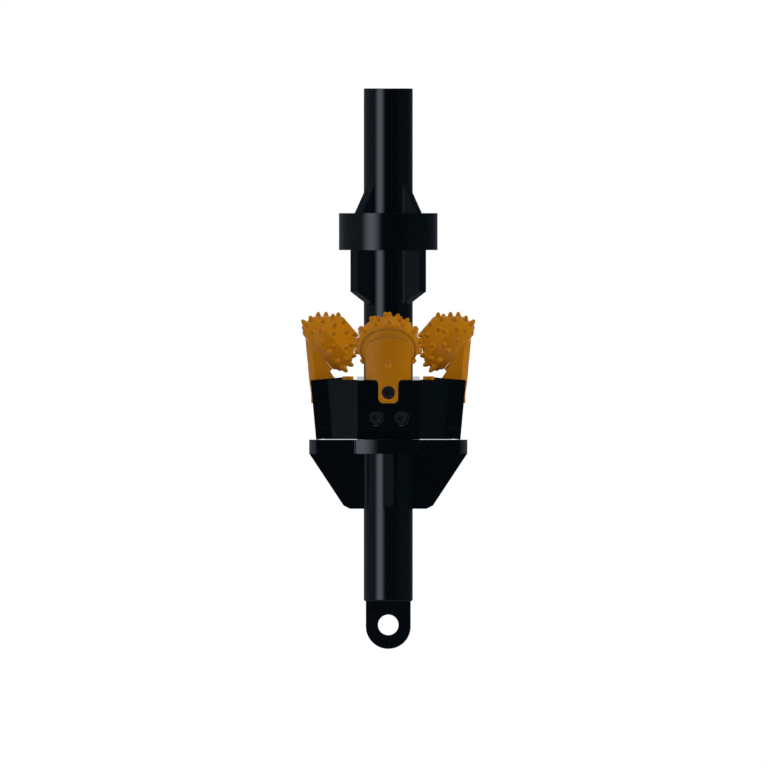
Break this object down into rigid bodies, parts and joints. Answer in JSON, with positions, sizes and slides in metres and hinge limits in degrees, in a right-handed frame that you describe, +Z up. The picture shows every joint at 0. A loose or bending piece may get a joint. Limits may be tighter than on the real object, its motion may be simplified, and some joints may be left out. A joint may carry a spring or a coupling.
{
  "type": "hole opener",
  "caption": "Large hole opener with roller-cone cutters on a shaft: centraliser ring on fins, cutter arms on a hub, base plate and pull eye.",
  "frame": {"origin": "centre of the tool-joint box shoulder at the top of the shaft", "axes": "+Z up along the shaft, out of the box and towards the drill string; +X through the first cutter; the pull eye's hole runs along Y"},
  "size_m": [0.5988, 0.5988, 1.9251],
  "materials": {
    "black_paint": "gloss black enamel",
    "orange_paint": "satin orange enamel",
    "screw_steel": "black oxide",
    "bearing_steel": "ground",
    "bearing_bronze": "turned",
    "seal_rubber": "matt"
  },
  "bodies": {
    "tool_body": {"shaft": "black_paint", "pull_eye": "black_paint", "centraliser_ring": "black_paint", "hub_body": "black_paint", "base_plate": "black_paint", "cutter_screws": "screw_steel", "ball_plugs": "orange_paint", "centraliser_fin_1": "black_paint", "nozzle_1": "orange_paint", "base_gusset_1": "black_paint", "saddle_plate_1": "black_paint", "arm_1": "orange_paint", "centraliser_fin_2": "black_paint", "nozzle_2": "orange_paint", "base_gusset_2": "black_paint", "saddle_plate_2": "black_paint", "arm_2": "orange_paint", "centraliser_fin_3": "black_paint", "nozzle_3": "orange_paint", "base_gusset_3": "black_paint", "saddle_plate_3": "black_paint", "arm_3": "orange_paint", "centraliser_fin_4": "black_paint", "nozzle_4": "orange_paint", "base_gusset_4": "black_paint", "saddle_plate_4": "black_paint", "arm_4": "orange_paint"},
    "cone_1": {"cone_1": "orange_paint", "inserts_1": "orange_paint", "seal_1": "seal_rubber", "thrust_washer_1": "bearing_bronze", "pilot_bush_1": "bearing_bronze"},
    "roller_set_1": {"rollers_1": "bearing_steel"},
    "ball_set_1": {"balls_1": "bearing_steel"},
    "cone_2": {"cone_2": "orange_paint", "inserts_2": "orange_paint", "seal_2": "seal_rubber", "thrust_washer_2": "bearing_bronze", "pilot_bush_2": "bearing_bronze"},
    "roller_set_2": {"rollers_2": "bearing_steel"},
    "ball_set_2": {"balls_2": "bearing_steel"},
    "cone_3": {"cone_3": "orange_paint", "inserts_3": "orange_paint", "seal_3": "seal_rubber", "thrust_washer_3": "bearing_bronze", "pilot_bush_3": "bearing_bronze"},
    "roller_set_3": {"rollers_3": "bearing_steel"},
    "ball_set_3": {"balls_3": "bearing_steel"},
    "cone_4": {"cone_4": "orange_paint", "inserts_4": "orange_paint", "seal_4": "seal_rubber", "thrust_washer_4": "bearing_bronze", "pilot_bush_4": "bearing_bronze"},
    "roller_set_4": {"rollers_4": "bearing_steel"},
    "ball_set_4": {"balls_4": "bearing_steel"}
  },
  "joints": [
    {"name": "cone_spin_1", "type": "hinge", "parent": "tool_body", "child": "cone_1", "pos_m": [0.2423, 0, -0.90496], "axis": [-0.7547, 0, 0.6561], "continuous": true},
    {"name": "roller_orbit_1", "type": "hinge", "parent": "tool_body", "child": "roller_set_1", "pos_m": [0.2423, 0, -0.90496], "axis": [-0.7547, 0, 0.6561], "continuous": true},
    {"name": "ball_orbit_1", "type": "hinge", "parent": "tool_body", "child": "ball_set_1", "pos_m": [0.2423, 0, -0.90496], "axis": [-0.7547, 0, 0.6561], "continuous": true},
    {"name": "cone_spin_2", "type": "hinge", "parent": "tool_body", "child": "cone_2", "pos_m": [0, 0.2423, -0.90496], "axis": [0, -0.7547, 0.6561], "continuous": true},
    {"name": "roller_orbit_2", "type": "hinge", "parent": "tool_body", "child": "roller_set_2", "pos_m": [0, 0.2423, -0.90496], "axis": [0, -0.7547, 0.6561], "continuous": true},
    {"name": "ball_orbit_2", "type": "hinge", "parent": "tool_body", "child": "ball_set_2", "pos_m": [0, 0.2423, -0.90496], "axis": [0, -0.7547, 0.6561], "continuous": true},
    {"name": "cone_spin_3", "type": "hinge", "parent": "tool_body", "child": "cone_3", "pos_m": [-0.2423, 0, -0.90496], "axis": [0.7547, 0, 0.6561], "continuous": true},
    {"name": "roller_orbit_3", "type": "hinge", "parent": "tool_body", "child": "roller_set_3", "pos_m": [-0.2423, 0, -0.90496], "axis": [0.7547, 0, 0.6561], "continuous": true},
    {"name": "ball_orbit_3", "type": "hinge", "parent": "tool_body", "child": "ball_set_3", "pos_m": [-0.2423, 0, -0.90496], "axis": [0.7547, 0, 0.6561], "continuous": true},
    {"name": "cone_spin_4", "type": "hinge", "parent": "tool_body", "child": "cone_4", "pos_m": [0, -0.2423, -0.90496], "axis": [0, 0.7547, 0.6561], "continuous": true},
    {"name": "roller_orbit_4", "type": "hinge", "parent": "tool_body", "child": "roller_set_4", "pos_m": [0, -0.2423, -0.90496], "axis": [0, 0.7547, 0.6561], "continuous": true},
    {"name": "ball_orbit_4", "type": "hinge", "parent": "tool_body", "child": "ball_set_4", "pos_m": [0, -0.2423, -0.90496], "axis": [0, 0.7547, 0.6561], "continuous": true}
  ],
  "couplings": [
    {"joint": "roller_orbit_1", "follows": "cone_spin_1", "ratio": 0.5639},
    {"joint": "ball_orbit_1", "follows": "cone_spin_1", "ratio": 0.6111},
    {"joint": "roller_orbit_2", "follows": "cone_spin_2", "ratio": 0.5639},
    {"joint": "ball_orbit_2", "follows": "cone_spin_2", "ratio": 0.6111},
    {"joint": "roller_orbit_3", "follows": "cone_spin_3", "ratio": 0.5639},
    {"joint": "ball_orbit_3", "follows": "cone_spin_3", "ratio": 0.6111},
    {"joint": "roller_orbit_4", "follows": "cone_spin_4", "ratio": 0.5639},
    {"joint": "ball_orbit_4", "follows": "cone_spin_4", "ratio": 0.6111}
  ]
}
